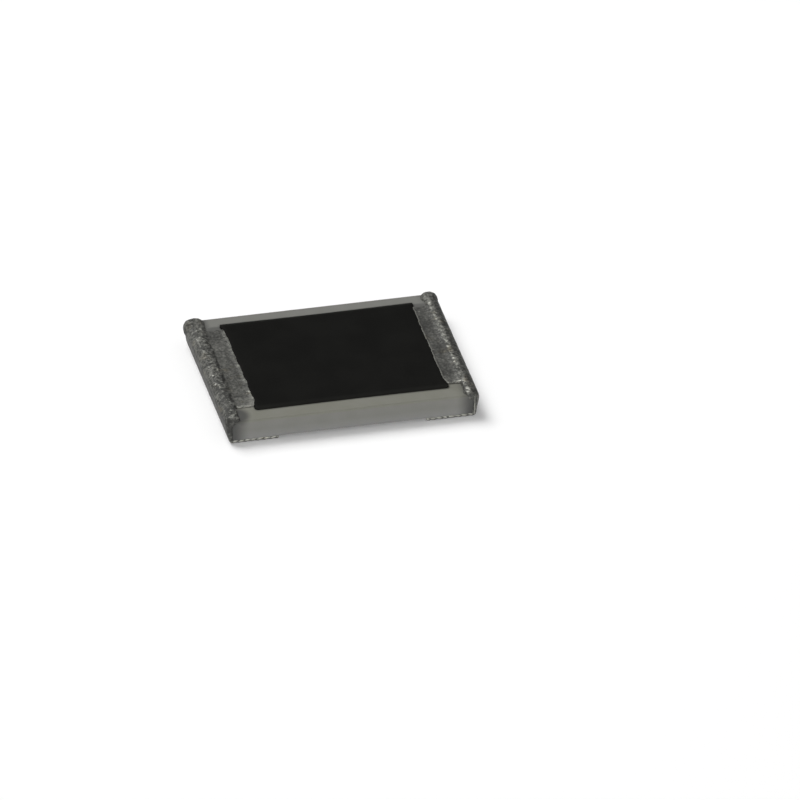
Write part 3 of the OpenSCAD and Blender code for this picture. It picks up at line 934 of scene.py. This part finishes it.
def makeTin(plan, side, own, plateSolid, coatSolid):
    grow = plating - plan["depth"]
    lumps = [ball(row[:3], row[3:]) for row in own["lumps"]]
    piece = joined(own["name"], [*endBodies(plan, grow, plating), slope(plan, grow), *lumps])
    core = [newPiece("nickelCore", *body) for body in endBodies(plan, barrier, barrier)]
    plateCutter, coatCutter = [settle(newCopy(solid), (side, 1.0, 1.0)) for solid in (plateSolid, coatSolid)]
    coatCutter.data.transform(Matrix.Translation((0, 0, -cutPlan["sink"])))  # no tin under the overcoat
    fuse = piece.modifiers.new("fuse", "REMESH")
    fuse.mode = "VOXEL"
    fuse.voxel_size = plan["voxel"]
    useTree(piece, tinSkin, {
        **titled(plan), **titled(own), "Material": looks["tin"], "Overcoat": coatCutter,
        "Bead Wall": silverLow.x - grow, "Plate End": plate["end"], "Pad Half": padHigh.y + grow,
        "Pad Top": padHigh.z + grow, "Foot Half": footHigh.y + grow, "Foot Top": plate["bottom"],
        "Low": (0.0, -tinHigh.y, 0.0), "High": tuple(tinHigh)})
    cutBy(piece, plateCutter, *core, coatCutter)
    settle(piece, (side, 1.0, 1.0))
    drop(*core, plateCutter, coatCutter)
    dropCrumbs(piece)
    return piece


plateSolid = makePlate(platePlan)
print("stage: plate")
coatSolid = makeOvercoat(overcoatPlan)
print("stage: overcoat", len(coatSolid.data.polygons))
for side, own in tinEnds.items():
    tin = makeTin(tinPlan, side, own, plateSolid, coatSolid)
    print("stage:", tin.name, len(tin.data.polygons))
    adopt(tin, own["node"])
coveredLayers = ["glass_precoat", "resistive_film", "top_electrode_left", "top_electrode_right"]
covered = [mould(node, cutPlan) for node in coveredLayers]
cutBy(coatSolid, *covered)  # the overcoat lies on the layers under it
settle(coatSolid)
drop(*covered)
print("stage: overcoat hollowed", len(coatSolid.data.polygons))
adopt(coatSolid, "overcoat")
adopt(plateSolid, "ceramic_substrate")

floorPlan = {"half": 1.0, "drop": 2e-6, "colour": 0.9, "lift": 0.113}  # metres; lift is added glow


def makeFloor(plan):
    half = plan["half"]
    outline = [(-half, -half), (half, -half), (half, half), (-half, half)]
    floor = newPiece("floor", [(x, y, -plan["drop"]) for x, y in outline], [(0, 1, 2, 3)])
    material, sheet = newMaterial("paleFloor")
    rays = sheet.node("ShaderNodeLightPath").socket.node.outputs
    kinds = ("Is Camera Ray", "Is Glossy Ray", "Is Transmission Ray")
    camera, glossy, through = [Wire(sheet, rays[kind]) for kind in kinds]
    seen = sheet.most(camera, sheet.most(glossy, through))
    cover = sheet.node("ShaderNodeBsdfDiffuse", None, {"Color": grey(plan["colour"])})
    glow = sheet.node("ShaderNodeEmission", None, {"Color": grey(1.0), "Strength": seen * plan["lift"]})
    both = sheet.node("ShaderNodeAddShader", None, {0: cover, 1: glow})
    sheet.node("ShaderNodeOutputMaterial", None, {"Surface": both})
    floor.data.materials.append(material)


lampPlan = [  # degrees, metres and watts
    {"name": "keySoftbox", "azimuth": -146, "elevation": 55, "reach": 0.6, "size": (0.312, 0.384),
     "power": 3.11, "shadow": True},
    {"name": "frontFill", "azimuth": -10, "elevation": 13, "reach": 0.5, "size": (0.2, 0.16),
     "power": 1.18, "shadow": False},  # leaves the floor behind the chip white
]


def aim(azimuth, elevation):  # from the object towards a lamp or the camera; azimuth 0 stands in front
    a = math.radians(azimuth)
    e = math.radians(elevation)
    return Vector((math.sin(a) * math.cos(e), -math.cos(a) * math.cos(e), math.sin(e)))


def makeLamps(plan):
    for row in plan:
        light = bpy.data.lights.new(row["name"], "AREA")
        light.shape = "RECTANGLE"
        light.size, light.size_y = row["size"]
        light.energy = row["power"]
        light.use_shadow = row["shadow"]
        lamp = bpy.data.objects.new(row["name"], light)
        back = aim(row["azimuth"], row["elevation"])
        turn = back.to_track_quat("Z", "Y").to_matrix().to_4x4()
        lamp.matrix_world = Matrix.Translation(back * row["reach"]) @ turn
        lamp.visible_camera = False
        bpy.context.collection.objects.link(lamp)


worldPlan = {"horizon": 0.105, "zenith": 0.345, "rise": (0.25, 0.95)}


def makeWorld(plan):
    world = bpy.data.worlds.new("studio")
    world.use_nodes = True
    world.node_tree.nodes.clear()
    sheet = Sheet(world.node_tree)
    up = sheet.parts(sheet.node("ShaderNodeTexCoord", out=0))[2]
    level = plan["horizon"] + up.ramp(*plan["rise"]) * (plan["zenith"] - plan["horizon"])
    sky = sheet.node("ShaderNodeBackground", None, {"Color": grey(1.0), "Strength": level})
    sheet.node("ShaderNodeOutputWorld", None, {"Surface": sky})
    bpy.context.scene.world = world


cameraPlan = {
    "azimuth": -14.863, "elevation": 33.923, "roll": 1.816,  # degrees
    "pixelsPerMm": 58.228, "focalPixels": 27000.0, "frame": 800, "sensor": 36.0,
    "chipPlace": (331.07, 366.64), "chipMiddle": 0.25,  # pixel of the chip's middle, and its height
    "clip": (0.01, 10.0),  # metres
}


def makeCamera(plan):
    data = bpy.data.cameras.new("camera")
    data.sensor_width = plan["sensor"]
    data.lens = plan["focalPixels"] / plan["frame"] * plan["sensor"]
    data.clip_start, data.clip_end = plan["clip"]
    back = aim(plan["azimuth"], plan["elevation"])
    turn = (-back).to_track_quat("-Z", "Y").to_matrix() @ Matrix.Rotation(math.radians(plan["roll"]), 3, "Z")
    scale = plan["pixelsPerMm"] / mm
    right = (plan["chipPlace"][0] - plan["frame"] / 2) / scale
    up = (plan["frame"] / 2 - plan["chipPlace"][1]) / scale
    middle = Vector((0, 0, plan["chipMiddle"] * mm))
    place = middle - turn @ Vector((right, up, 0)) + back * (plan["focalPixels"] / scale)
    camera = bpy.data.objects.new("camera", data)
    camera.matrix_world = Matrix.Translation(place) @ turn.to_4x4()
    bpy.context.collection.objects.link(camera)
    bpy.context.scene.camera = camera


makeFloor(floorPlan)
makeLamps(lampPlan)
makeWorld(worldPlan)
makeCamera(cameraPlan)
bpy.context.scene.view_settings.view_transform = "Standard"
print("stage: camera, floor and light")
